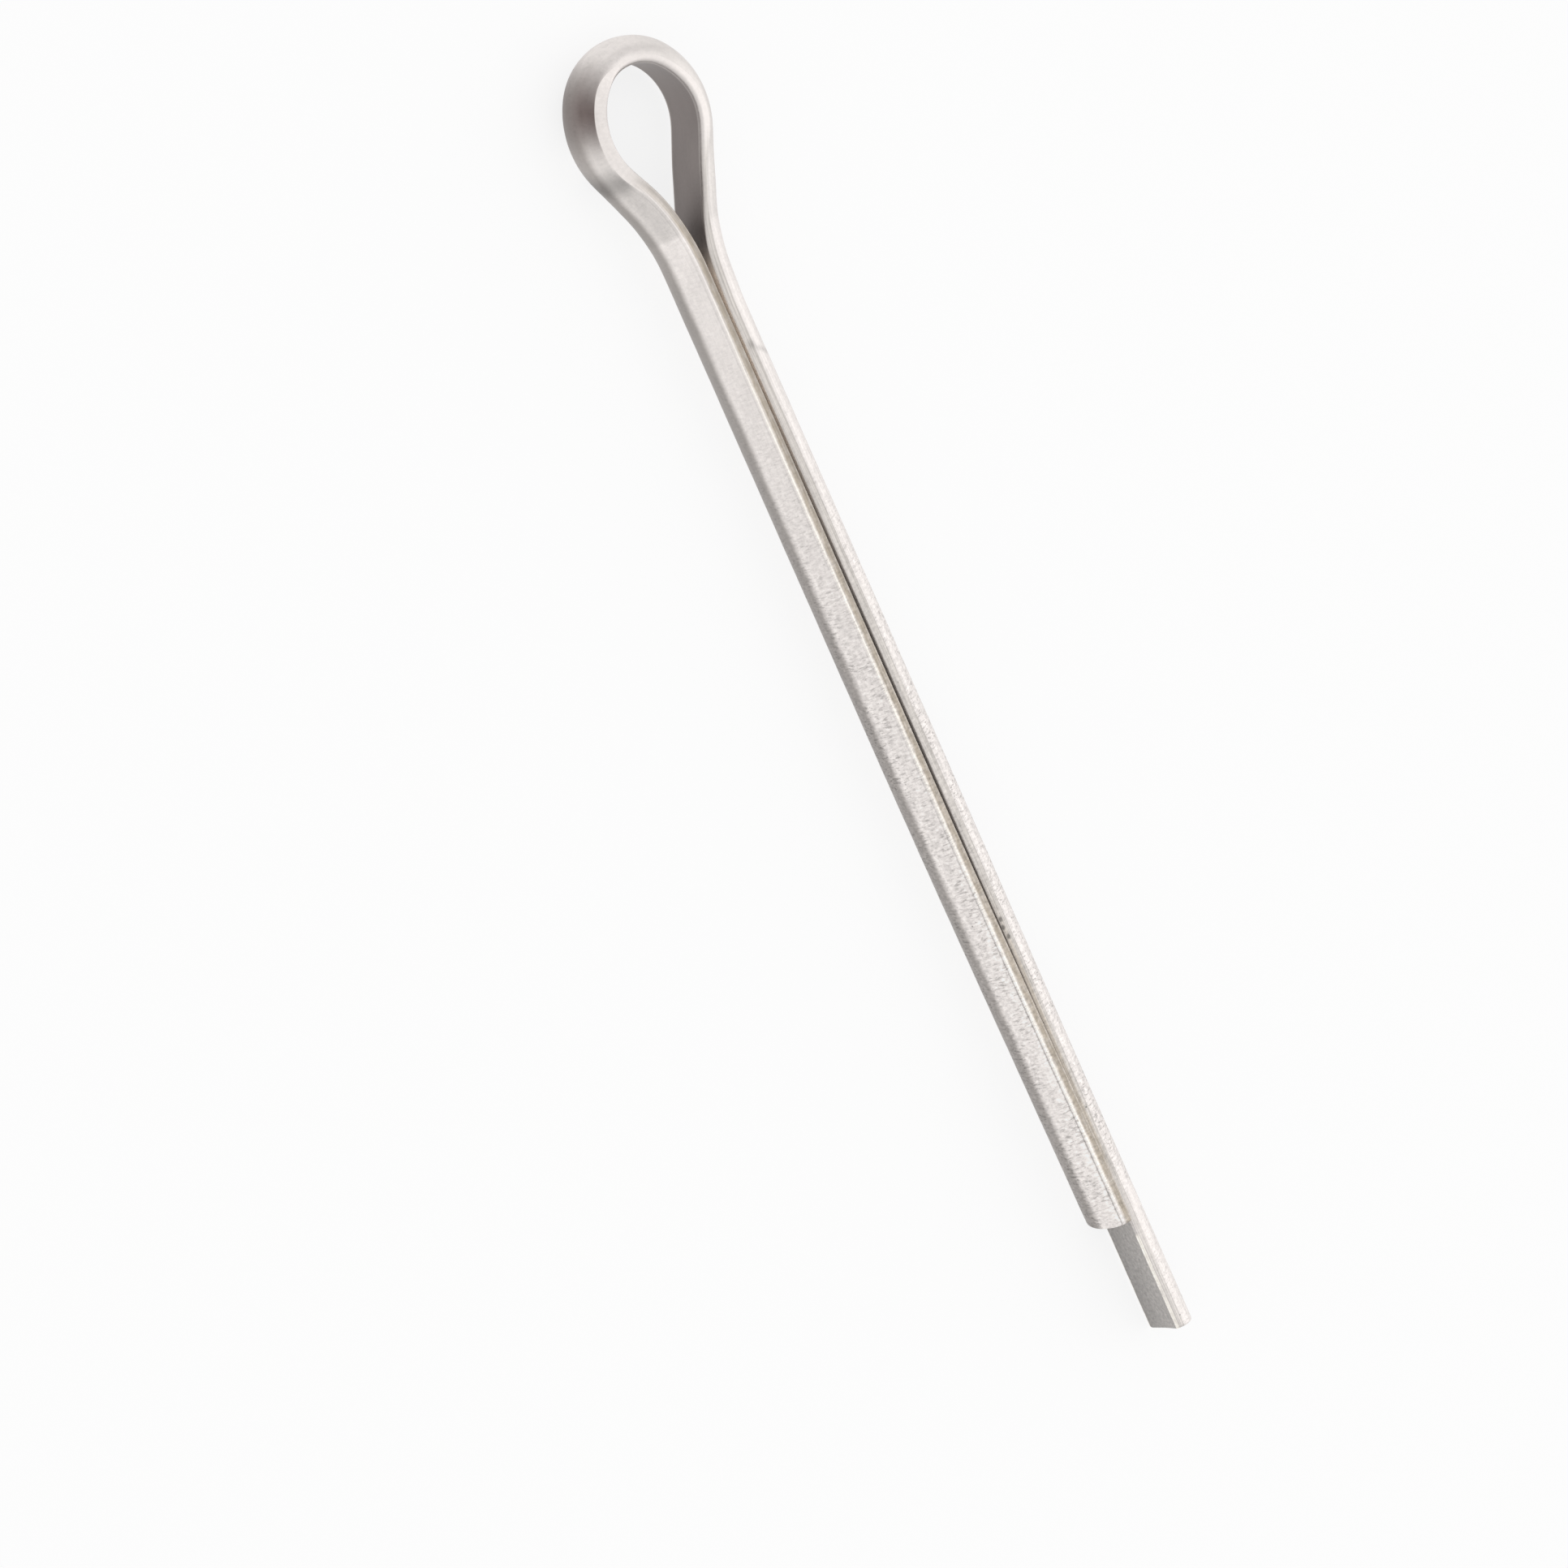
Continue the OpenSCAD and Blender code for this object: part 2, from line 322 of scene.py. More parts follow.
def wire_rings():
    """The rings of the wire, before its ends are closed: the places along it, the inner
    line's points and the way its back faces there, how far each ring is the leg's, the
    places round it with their zones, and its thickness."""
    line_s, line_p, line_out = inner_line()
    s = ring_places()
    x0 = np.interp(s, line_s, line_p[:, 0])
    y0 = np.interp(s, line_s, line_p[:, 1])
    out = np.interp(s, line_s, line_out)
    run = np.where(s < 0, -s, s)
    y0 = y0 - NECK_IN * (s > 0) * smooth(run, *CLOSING_IN) * (1 - smooth(run, *CLOSING_OUT))
    starts = np.where(s < 0, short_ends[CHEEK_END], long_ends[CHEEK_END])
    stops = np.where(s < 0, short_ends[FLANK_END], long_ends[FLANK_END])
    leg = smooth(run, starts - SECTION_BEFORE, stops + SECTION_PAST)
    t = between(EYE_WIRE_T, LEG_T, leg)
    side_h = between(EYE_SIDE_H, LEG_SIDE_H, leg)
    nose = 1 - np.where(s < 0, smooth(run, *NOSE_OUT_SHORT), smooth(run, *NOSE_OUT_LONG))
    crease = CREASE_EYE + (CREASE_LEG - CREASE_EYE) * leg + (CREASE_NOSE - CREASE_EYE) * nose
    short_leg = leg * (s < 0)
    long_eye = (s > 0) * smooth(run, *NOSE_OUT_LONG) * (1 - smooth(run, *LONG_EDGE_OUT))
    edge_r = between(EDGE_EYE, EDGE_NOSE, nose)
    edge_r += (EDGE_LONG - EDGE_EYE) * long_eye
    edge_r += (EDGE_R - EDGE_EYE) * leg * (1 - long_eye) + (EDGE_SHORT - EDGE_R) * short_leg
    off, across, zone = sections(t, side_h, crease, edge_r)
    # How low a place is on the side flat, from 0 at the crease to 1 at the inner face
    low = np.clip(1 - off / side_h[:, None], 0, 1)
    off = off + INNER_LEAN * long_eye[:, None] * low * (1 + across / HALF_W) / 2
    spread = EYE_SPREAD * smooth(run, *SPREAD_IN) * (1 - smooth(run, *SPREAD_OUT))
    across = across + spread[:, None] * low * smooth(across, SPREAD_PAST, HALF_W)
    off = off - SHORT_FULLER * short_leg[:, None] * (zone >= ON_EDGE)
    around = np.arctan2(across, off - t[:, None] / 2)
    # The waves leave the inner face flat
    skin = waviness(s[:, None], around) - WAVE_ROOM
    off = off + skin * np.cos(around) * (off > EDGE_R)
    return s, x0, y0, out, leg, off, across, zone, t


def closed_ends(s, off, across, t):
    """The rings of the two sheared ends, outwards from the wire: first round the eased
    edge, where a ring draws in as 1 - cos a and moves out as sin a, and then flat to the
    middle. For each end: the places along the wire, the places round it, and how far each
    ring counts as sheared."""
    a = np.radians(np.linspace(0, 90, END_STEPS + 1))[1:]
    flat = np.ones(len(CAP_SIZES))
    shrink = np.concatenate([1 - np.cos(a), flat])[:, None]
    scale = np.concatenate([np.ones(END_STEPS), CAP_SIZES])[:, None]
    go = END_EASE * np.concatenate([np.sin(a), flat])
    cut = np.concatenate([np.zeros(END_STEPS - 1), [CAP_EDGE], flat])
    ends = []
    for i, sign in ((0, -1), (-1, 1)):
        mid = t[i] / 2
        near = np.hypot(off[i] - mid, across[i])
        draw_in = between(END_IN_FACE, END_IN_BACK, off[i] / t[i])
        grow = scale * (1 - shrink * draw_in / near)
        ends.append((s[i] + sign * go, mid + (off[i] - mid) * grow, across[i] * grow, cut))
    return ends


def grow_pin():
    """Vertices of the wire and the values that the finish needs, with both ends closed, the
    ends sheared on a slant, the legs drawn together and the short leg's tip raised."""
    s, x0, y0, out, leg, off, across, zone, t = wire_rings()
    first, last = closed_ends(s, off, across, t)
    first = [rings[::-1] for rings in first]
    added = len(last[0])
    open_rings = (s, off, across, np.zeros(len(s)))
    all_s, off, across, cut = (np.concatenate(three) for three in zip(first, open_rings, last))
    x0, y0, out, leg = (np.pad(values, added, mode="edge") for values in (x0, y0, out, leg))
    x0 = x0 + np.abs(all_s - np.clip(all_s, s[0], s[-1]))
    face = towards(out)
    x = x0[:, None] + off * face[:, :1]
    y = y0[:, None] + off * face[:, 1:]
    z = across.copy()
    # The sheared ends slant: the short one across its width, the long one across its width
    # and through its thickness, and the slant dies away from the end
    short_end = smooth(-all_s, short_ends[TIP] - END_REACH, short_ends[TIP])[:, None]
    long_end = smooth(all_s, long_ends[TIP] - END_REACH, long_ends[TIP])[:, None]
    x -= short_end * (HALF_W - z) * math.tan(math.radians(END_SLANT))
    x -= long_end * (LONG_OVER - long_reach(off, z))
    # The legs draw together towards their tips, and the short one rises by h squared, where
    # h runs from 0 to 1 over the stretch before its tip
    side = np.where(all_s < 0, 1.0, -1.0)[:, None]
    move = np.where(all_s < 0, CLOSE_SHORT, CLOSE_LONG)[:, None]
    y += side * move * smooth(x0, CLOSE_FROM, CLOSE_TO)[:, None]
    lift = np.clip((x0 - (SHORT_TIP - RISE_L)) / RISE_L, 0, 1) ** 2
    z += np.where(all_s < 0, SET_Z * lift, 0)[:, None]
    points = np.stack([x - MID_X, y - MID_Y, z + MID_Z], -1) * MM
    return points, all_s, off, across, leg, cut, zone


def lengths_round(off, across):
    """Distance round each ring from its first place, with one more for the way back."""
    d = np.hypot(
        np.diff(off, axis=1, append=off[:, :1]), np.diff(across, axis=1, append=across[:, :1])
    )
    return np.concatenate([np.zeros((len(off), 1)), np.cumsum(d, 1)], 1)


def grid_mesh(name, points):
    """Mesh over a grid of rings by places round them: quads round the wire, and a fan of
    triangles to a pole in the middle of the first ring and of the last."""
    rings, n = points.shape[:2]
    i, j = np.meshgrid(np.arange(rings - 1), np.arange(n), indexing="ij")
    k = (j + 1) % n
    quads = np.stack([i * n + j, i * n + k, (i + 1) * n + k, (i + 1) * n + j], -1)
    ring = np.arange(n)
    onward = (ring + 1) % n
    base = (rings - 1) * n
    first_fan = np.stack([np.full(n, rings * n), onward, ring], -1)
    last_fan = np.stack([np.full(n, rings * n + 1), base + ring, base + onward], -1)
    poles = points[[0, -1]].mean(1)
    verts = np.concatenate([points.reshape(-1, 3), poles])
    loops = np.concatenate([quads.ravel(), first_fan.ravel(), last_fan.ravel()])
    sizes = np.repeat([4, 3], [quads.size // 4, 2 * n])
    starts = np.concatenate([[0], np.cumsum(sizes)[:-1]])
    mesh = bpy.data.meshes.new(name)
    mesh.vertices.add(len(verts))
    mesh.vertices.foreach_set("co", verts.astype(np.float32).ravel())
    mesh.loops.add(len(loops))
    mesh.loops.foreach_set("vertex_index", loops.astype(np.int32))
    mesh.polygons.add(len(sizes))
    mesh.polygons.foreach_set("loop_start", starts.astype(np.int32))
    mesh.polygons.foreach_set("loop_total", sizes.astype(np.int32))
    mesh.update(calc_edges=True)
    mesh.polygons.foreach_set("use_smooth", np.ones(len(sizes), bool))
    return mesh


def unroll(mesh, s, v):
    """UV map in millimetres, along the wire and round it from the middle of the back, with
    the seam there. v has one value more to a ring than the ring has places."""
    rings, n = len(s), v.shape[1] - 1
    i, j = np.meshgrid(np.arange(rings - 1), np.arange(n), indexing="ij")
    u_quads = np.stack([s[i], s[i], s[i + 1], s[i + 1]], -1)
    v_quads = np.stack([v[i, j], v[i, j + 1], v[i + 1, j + 1], v[i + 1, j]], -1)
    uv = [np.stack([u_quads, v_quads], -1).reshape(-1, 2)]
    for r, (a, b) in ((0, (v[0, 1:], v[0, :-1])), (-1, (v[-1, :-1], v[-1, 1:]))):
        u = np.full(n, s[r])
        corners = [np.stack([u, place], -1) for place in ((a + b) / 2, a, b)]
        uv.append(np.stack(corners, 1).reshape(-1, 2))
    layer = mesh.uv_layers.new(name="wire")
    layer.data.foreach_set("uv", np.concatenate(uv).astype(np.float32).ravel())


def build_wire(name):
    """The pin's object: the closed grid of the wire, its UV map, and the named values that
    the finish reads."""
    points, s, off, across, leg, cut, zone = grow_pin()
    mesh = grid_mesh(name, points)
    v = lengths_round(off, across)
    unroll(mesh, s, v)

    def named(label, values, at_poles):
        """Gives the mesh a named value at each place, and at the two poles."""
        values = np.broadcast_to(values, off.shape).ravel()
        data = np.concatenate([values, [at_poles, at_poles]]).astype(np.float32)
        mesh.attributes.new(label, "FLOAT", "POINT").data.foreach_set("value", data)

    # Distance from the crease, more than 0 on the back, and turn round the back in degrees
    fold = np.flatnonzero(zone == ON_FOLD)[FOLD_STEPS // 2]
    from_crease = v[:, fold : fold + 1] - np.minimum(v[:, :-1], v[:, -1:] - v[:, :-1])
    side_h = between(EYE_SIDE_H, LEG_SIDE_H, leg[:, None])
    centre = off[:, :1] - crown_r(off[:, :1], side_h)
    turn = np.degrees(np.abs(np.arctan2(across, off - centre)))
    named("from_crease", from_crease, 1)
    named("turn", turn, 0)
    named("leg", leg[:, None], 1)
    skin = 1 - cut[:, None]
    named("side_flat", SIDE_FLAT_SHARES[zone] * skin, 0)
    inner = (zone == ON_FACE).astype(float)
    edge = np.flatnonzero(zone == ON_EDGE)
    share = np.linspace(0, 1, len(edge) // 2)
    inner[edge] = EDGE_INNER * np.concatenate([share, share[::-1]]) ** 2
    named("inner", inner * skin, 0)
    named("rim", (zone == ON_EDGE) * skin, 0)
    named("cut", cut[:, None], 1)
    mesh.validate()
    obj = bpy.data.objects.new(name, mesh)
    bpy.context.scene.collection.objects.link(obj)
    return obj


class Socket:
    """A node's output. Python's operators on it add Math nodes, so that an expression on
    masks reads as it is written."""

    def __init__(self, tree, out):
        self.tree, self.out = tree, out

    def math(self, operation, *values):
        return node(self.tree, "ShaderNodeMath", {"operation": operation}, dict(enumerate(values)))

    def __add__(self, other):
        return self.math("ADD", self, other)

    def __sub__(self, other):
        return self.math("SUBTRACT", self, other)

    def __rsub__(self, other):
        return self.math("SUBTRACT", other, self)

    def __mul__(self, other):
        return self.math("MULTIPLY", self, other)

    __radd__, __rmul__ = __add__, __mul__

    def __abs__(self):
        return self.math("ABSOLUTE", self)

    def step(self, start, end):
        """0 below start, 1 above end, smooth between them."""
        return node(
            self.tree,
            "ShaderNodeMapRange",
            {"interpolation_type": "SMOOTHSTEP"},
            {"Value": self, "From Min": start, "From Max": end, "To Min": 0.0, "To Max": 1.0},
        )


def node(tree, kind, settings=None, sockets=None, out=0):
    """Adds a node: its settings first, then the values or links of its sockets. Gives the
    output that is asked for, if the node has any."""
    made = tree.nodes.new(kind)
    for name, value in (settings or {}).items():
        setattr(made, name, value)
    for name, value in (sockets or {}).items():
        if isinstance(value, Socket):
            tree.links.new(value.out, made.inputs[name])
        else:
            made.inputs[name].default_value = value
    return Socket(tree, made.outputs[out]) if made.outputs else None


def band(x, middle, reach):
    """1 at the middle, falling smoothly to 0 at reach from it."""
    return 1 - abs(x - middle).step(0.0, reach)


def swing(noise):
    """How far a noise is from its own middle: noise - 0.5."""
    return noise - 0.5


# A Mix node has sockets of one name for numbers, vectors and colours. These are a colour
# mix's factor, its two colours and what comes out
MIX_FACTOR, MIX_A, MIX_B, MIX_OUT = 0, 6, 7, 2


def mixed(a, b, factor):
    """Colour part of the way from a to b, each a colour's three values or a socket."""
    a, b = ((*c, 1) if isinstance(c, tuple) else c for c in (a, b))
    sockets = {MIX_FACTOR: factor, MIX_A: a, MIX_B: b}
    return node(factor.tree, "ShaderNodeMix", {"data_type": "RGBA"}, sockets, out=MIX_OUT)


# Colours of the steel on the backs of the legs, and of the painted shade on the bends and
# on the middle of the back
STEEL = (0.862, 0.815, 0.788)
BEND_SHADE = (0.765, 0.725, 0.698)
BACK_SHADE = (0.35, 0.325, 0.308)
# Under the tan film of the short leg's side, and on the long leg's side
FILM = (0.50, 0.442, 0.372)
FLAT = (0.61, 0.575, 0.54)
# On the inner face, painted shade and light: dark painted shade in the eye, painted light
# that lifts the shade at the neck and in the gap, and painted shade where the long leg stands
# out
INNER_EYE_SHADE = (0.265, 0.235, 0.225)
INNER_NECK_LIGHT = (0.90, 0.83, 0.76)
INNER_GAP_LIGHT = (0.50, 0.465, 0.44)
INNER_BARE_SHADE = (0.37, 0.35, 0.335)
# On the sheared ends, the painted shade on the cheek, and the painted highlights on edges
SHEARED = (0.50, 0.485, 0.47)
CHEEK_SHADE = (0.17, 0.133, 0.125)
EDGE_HIGHLIGHT = (0.98, 0.93, 0.86)

# Places along the wire, in millimetres from the middle of the nose: the short leg's tip,
# the mark where the short leg's bend began, and the bending tool's line across the long leg
SHORT_END = short_ends[TIP]
BEND_MARK = 9.4
LONG_MARK = 15.9

# Stretches of the wire, in millimetres from the middle of the nose, over which the finish
# changes. Roll marks and specks grow, and pits begin
ROLLED_IN = (13.0, 36.0)
PITTED_IN = (14.0, 22.0)
# The painted shade comes in on the bends, and on the back's middle at the short cheek, and
# it grows on the long leg
BEND_SHADE_IN = (0.4, 2.0)
BACK_SHADE_IN = (0.6, 2.2)
LONG_BACK_SHADE_IN = (24.0, 38.0)
# The film comes in along the flank, and again at the neck
FILM_IN = (3.8, 6.4)
NECK_FILM_IN = (7.6, 9.4)
# The short leg's crease carries a painted highlight from past the neck until just before its
# tip, the painted shade of the line beside it darkens, the painted highlight on the back
# beside that grows, and the painted shade on its side grows lighter
CREASE_HIGHLIGHT_IN = (10.5, 19.0)
CREASE_HIGHLIGHT_OUT = (SHORT_END - 1.8, SHORT_END - 0.8)
BESIDE_IN = (34.0, 50.0)
UPPER_IN = (36.0, 48.0)
LOWER_OUT = (20.0, 34.0)
# The long leg's side is stained, the painted shade beside its crease grows fainter, its tip
# is brighter and smoother with painted light on its back, and a painted highlight lies on its
# inner edge where it stands out past the short leg
STAIN_IN = (42.0, 49.0)
STAIN_OUT = (57.0, 60.0)
CREASE_SHADE_OUT = (34.0, 48.0)
TIP_IN = (57.5, 61.5)
LIP_HIGHLIGHT_IN = (SHORT_END + 0.8, SHORT_END + 1.1)
# Where the inner face's painted shade and light change: it goes into the gap, darkens there,
# and comes out of it
HIDDEN_IN = (9.8, 12.2)
GAP_IN = (15.0, 32.0)
BARE_IN = (58.0, 61.0)
# The short side turns into the long one within this distance of the nose
SIDES_MEET = 0.4

# Noises, each as its scales round the wire and along it, per millimetre, a shift that sets
# it apart from the others, and its other settings. Grain, specks and clouds are satin
# unevenness, and wander moves the edges of marks
NOISES = {
    "grain": (5.5, 5.0, 0.0, {"Detail": 4.0, "Roughness": 0.65}),
    "specks": (3.2, 8.0, 41.0, {"Detail": 2.0, "Roughness": 0.6}),
    "cloud": (1.1, 0.55, 7.0, {"Detail": 3.0, "Roughness": 0.55}),
    "wander": (0.9, 0.7, 19.0, {"Detail": 2.0}),
    "lines": (15.0, 0.2, 3.0, {"Detail": 3.0, "Roughness": 0.65}),
    "dashes": (2.8, 10.0, 5.0, {"Detail": 3.0, "Roughness": 0.6, "Distortion": 0.5}),
    "groups": (0.9, 0.45, 11.0, {"Detail": 2.0}),
    "pitted": (0.8, 0.8, 23.0, {}),
    "streaks": (5.0, 1.6, 61.0, {"Detail": 3.0}),
    "lip_breaks": (0.4, 0.6, 51.0, {}),
    "torn": (9.0, 9.0, 31.0, {"Detail": 3.0}),
}


class Wire:
    """What the finish reads at each point of the wire: the place along it and round it in
    millimetres, the mesh's named values, masks, and the noises that several marks share."""

    def __init__(self, tree):
        self.tree = tree
        uv = node(tree, "ShaderNodeUVMap", {"uv_map": "wire"})
        self.along, self.around = (
            node(tree, "ShaderNodeSeparateXYZ", {}, {"Vector": uv}, out=axis) for axis in "XY"
        )
        self.leg, self.side_flat, self.inner, self.rim, self.from_crease, self.turn, self.cut = (
            node(tree, "ShaderNodeAttribute", {"attribute_name": label}, out="Fac")
            for label in ("leg", "side_flat", "inner", "rim", "from_crease", "turn", "cut")
        )
        self.back = (1 - self.side_flat) * (1 - self.inner) * (1 - self.cut)
        self.short = 1 - self.along.step(-SIDES_MEET, SIDES_MEET)
        self.long = 1 - self.short
        self.run = abs(self.along)
        self.below = 0 - self.from_crease
        self.worked = self.run.step(*ROLLED_IN) * self.leg
        self.tip = self.long * self.run.step(*TIP_IN)
        self.grain, self.specks, self.cloud, self.wander, self.lines = (
            self.noise(kind) for kind in ("grain", "specks", "cloud", "wander", "lines")
        )

    def noise(self, kind):
        """One of the noises, stretched along the wire and round it."""
        across_scale, along_scale, shift, settings = NOISES[kind]
        place = node(self.tree, "ShaderNodeCombineXYZ", {}, {
            "X": self.along * along_scale, "Y": self.around * across_scale, "Z": shift,
        })
        sockets = {"Vector": place, "Scale": 1.0, **settings}
        return node(self.tree, "ShaderNodeTexNoise", {}, sockets, out="Fac")


# Dashes: noise levels between which one shows, levels of their groups, and how strong they
# are outside a group and where the wire is not worked
DASH_LEVELS = (0.50, 0.66)
GROUP_LEVELS = (0.36, 0.6)
DASH_ALONE = 0.3
DASH_UNWORKED = 0.15


def roll_marks(w):
    """Short dashes across the backs, in groups, stronger on the legs."""
    dash = w.noise("dashes").step(*DASH_LEVELS)
    dash = dash * between(DASH_ALONE, 1, w.noise("groups").step(*GROUP_LEVELS))
    return dash * between(DASH_UNWORKED, 1, w.worked) * w.back


# Scattered pits: how closely they are strewn, per millimetre, the radii of a pit's bottom
# and rim as shares of that, and the noise levels between which a patch of them begins
PIT_SPREAD = 1.4
PIT_RADII = (0.03, 0.10)
PIT_LEVELS = (0.56, 0.62)
# Pits in the long leg's side, as (place along the wire, distance from the crease), with
# their reach along the wire and across it, and how deep they are
PIT_MARKS = ((45.5, -0.29), (45.9, -0.33), (46.4, -0.26))
PIT_REACH_ALONG = 0.2
PIT_REACH_ACROSS = 0.14
PIT_MARK_DEPTH = 1.6


def pit_marks(w):
    """A few small pits scattered on the legs, and the long leg's at their own places."""
    place = node(w.tree, "ShaderNodeCombineXYZ", {}, {"X": w.along, "Y": w.around, "Z": 0.0})
    sockets = {"Vector": place, "Scale": PIT_SPREAD, "Randomness": 1.0}
    apart = node(w.tree, "ShaderNodeTexVoronoi", {}, sockets, out="Distance")
    pits = (1 - apart.step(*PIT_RADII)) * w.noise("pitted").step(*PIT_LEVELS)
    pits = pits * w.run.step(*PITTED_IN)
    for along, across in PIT_MARKS:
        pit = band(w.along, along, PIT_REACH_ALONG)
        pits = pits + PIT_MARK_DEPTH * pit * band(w.from_crease, across, PIT_REACH_ACROSS)
    return pits


# How far the edges of the bends' marks wander, and the softness of the line where the
# bend begins
EDGE_WANDER = 0.5
BEND_SOFT = 0.22
# The painted shade on the short cheek, the painted highlight on it further on and the
# painted shade on the flank, as (place, reach) along the wire, how strong the cheek's shade
# is on the middle of the back, and the turns where it grows to its full
CHEEK_SHADE_SPAN = (2.5, 2.3)
CHEEK_HIGHLIGHT_SPAN = (4.3, 1.2)
FLANK_SHADE_SPAN = (5.5, 1.0)
CHEEK_SHADE_MIDDLE = 0.62
CHEEK_SHADE_TURNS = (6.0, 30.0)


def bend_painted_light(w):
    """The backs of the bends, up to a faint line where the bend begins, and on the short
    side painted shade on the cheek and on the flank, with a painted highlight between them."""
    edge = w.run + swing(w.wander) * EDGE_WANDER
    bend = (1 - edge.step(BEND_MARK - BEND_SOFT, BEND_MARK + BEND_SOFT)) * w.back
    cheek_painted_shade = band(edge, *CHEEK_SHADE_SPAN) * between(CHEEK_SHADE_MIDDLE, 1, w.turn.step(*CHEEK_SHADE_TURNS))
    flank_painted_shade, cheek_painted_highlight = band(edge, *FLANK_SHADE_SPAN), band(edge, *CHEEK_HIGHLIGHT_SPAN)
    return bend, *(mark * w.short * bend for mark in (cheek_painted_shade, flank_painted_shade, cheek_painted_highlight))


# Turns of the back, in degrees from its middle, between which the painted shade on the
# back's middle ends, how far its edge wanders, how much narrower it is on the long side, how
# strong it is on the short cheek, and on the long leg at first and at last
BACK_SHADE_TURNS = (13.0, 32.0)
BACK_SHADE_WANDER = 5
BACK_SHADE_NARROWER = 9
BACK_SHADE_CHEEK = 0.9
BACK_SHADE_LONG = (0.35, 0.75)


def painted_middle_shade(w):
    """Painted shade on the back's middle: darker than its flanks, and narrower and fainter on
    the long side."""
    turn = w.turn + swing(w.wander) * BACK_SHADE_WANDER + BACK_SHADE_NARROWER * w.long
    middle_shade_mask = (1 - turn.step(*BACK_SHADE_TURNS)) * w.back
    middle_shade_mask = middle_shade_mask * (w.leg + (1 - w.leg) * w.short * w.run.step(*BACK_SHADE_IN) * BACK_SHADE_CHEEK)
    return middle_shade_mask * (w.short + w.long * between(*BACK_SHADE_LONG, w.run.step(*LONG_BACK_SHADE_IN)))


# Distances below the crease between which the film and the stain come in, and the film's
# strength between its streaks and in them
FILM_BELOW = (0.02, 0.18)
STAIN_BELOW = (0.12, 0.32)
FILM_STREAKS = (0.3, 1.6)


def tan_film(w):
    """Tan film on the side flats, in streaks, half of it from the flank on and half from
    the neck."""
    film = w.side_flat * w.leg * w.below.step(*FILM_BELOW)
    film = film * (0.5 * w.run.step(*FILM_IN) + 0.5 * w.run.step(*NECK_FILM_IN))
    return film * between(*FILM_STREAKS, w.noise("streaks"))


# The painted highlight on the crease, as (distance from the crease, reach), how far the
# grain frays it, and its strength where the clouds are lowest and highest
CREASE_HIGHLIGHT = (-0.015, 0.115)
CREASE_HIGHLIGHT_FRAY = 0.08
CREASE_HIGHLIGHT_CLOUDS = (0.36, 1.26)
# The painted highlight on the inner edge: its strength where it is faintest, and the noise
# levels between
LIP_HIGHLIGHT_FAINT = 0.5
LIP_HIGHLIGHT_LEVELS = (0.40, 0.55)


def painted_edge_highlights(w):
    """Painted highlights on the short leg's creases and the long leg's inner edge."""
    painted_crease_highlight = band(w.from_crease + swing(w.grain) * CREASE_HIGHLIGHT_FRAY, *CREASE_HIGHLIGHT) * w.leg * w.short
    painted_crease_highlight = painted_crease_highlight * w.run.step(*CREASE_HIGHLIGHT_IN) * between(*CREASE_HIGHLIGHT_CLOUDS, w.cloud)
    painted_crease_highlight = painted_crease_highlight * (1 - w.run.step(*CREASE_HIGHLIGHT_OUT))
    painted_lip_highlight = w.rim * w.long * w.along.step(*LIP_HIGHLIGHT_IN)
    painted_lip_highlight = painted_lip_highlight * between(LIP_HIGHLIGHT_FAINT, 1, w.noise("lip_breaks").step(*LIP_HIGHLIGHT_LEVELS))
    bright = painted_crease_highlight + painted_lip_highlight
    return bright.math("MINIMUM", bright, 1.0)


# The most that the painted shade on the back's middle, the stain and the painted shade on
# the cheek cover what is under them, and how far the long leg's side has its own colour
# before its tip and there
COVER = 0.95
FLAT_COVER = (0.8, 0.45)


def steel_colour(w, bend, cheek_painted_shade):
    """The wire's colour before its unevenness: each finish, painted shade and painted highlight
    is mixed over the ones before.
    """
    # Painted shade on the bends
    colour = mixed(STEEL, BEND_SHADE, bend * w.run.step(*BEND_SHADE_IN))
    # Painted shade on the middle of the back
    colour = mixed(colour, BACK_SHADE, painted_middle_shade(w) * COVER)
    colour = mixed(colour, FILM, tan_film(w) * w.short)
    flat = w.side_flat * w.leg * w.long
    colour = mixed(colour, FLAT, flat * between(*FLAT_COVER, w.tip))
    stain = w.side_flat * w.long * w.below.step(*STAIN_BELOW)
    stain = stain * w.run.step(*STAIN_IN) * (1 - w.run.step(*STAIN_OUT))
    colour = mixed(colour, FILM, stain * COVER)
    # Painted shade and light on the inner face, by where it lies along the wire
    gap = mixed(INNER_NECK_LIGHT, INNER_GAP_LIGHT, w.run.step(*GAP_IN))
    inside = mixed(INNER_EYE_SHADE, gap, w.run.step(*HIDDEN_IN))
    inside = mixed(inside, INNER_BARE_SHADE, w.along.step(*BARE_IN))
    colour = mixed(colour, inside, w.inner)
    # Painted shade on the short cheek
    colour = mixed(colour, CHEEK_SHADE, cheek_painted_shade * COVER)
    # Painted highlights on the creases and the inner edge
    colour = mixed(colour, EDGE_HIGHLIGHT, painted_edge_highlights(w))
    return mixed(colour, SHEARED, w.cut)


# Tone of the plain steel, how much brighter the short leg's back is, and how far the
# clouds, the grain, the specks and the die's lines change the tone: in all, more on a leg,
# and more where it is worked. The specks are fainter on the long side and the inner face,
# and the lines are stronger on the long side and the side flats
PLAIN_TONE = 0.98
BACK_BRIGHT = 0.05
CLOUD_TONE = 0.24
GRAIN_TONE = 0.2
GRAIN_LEG = 0.1
GRAIN_WORKED = 0.4
SPECK_WORKED = (0.15, 0.85)
SPECK_LONG = 0.7
SPECK_INNER = 0.4
LINES_LONG = 0.48
LINES_SHORT = 0.18
LINES_SIDE = 0.7
# At the long leg's tip the unevenness changes by this share: less outside, more inside
TIP_UNEVEN = (-0.5, 0.9)


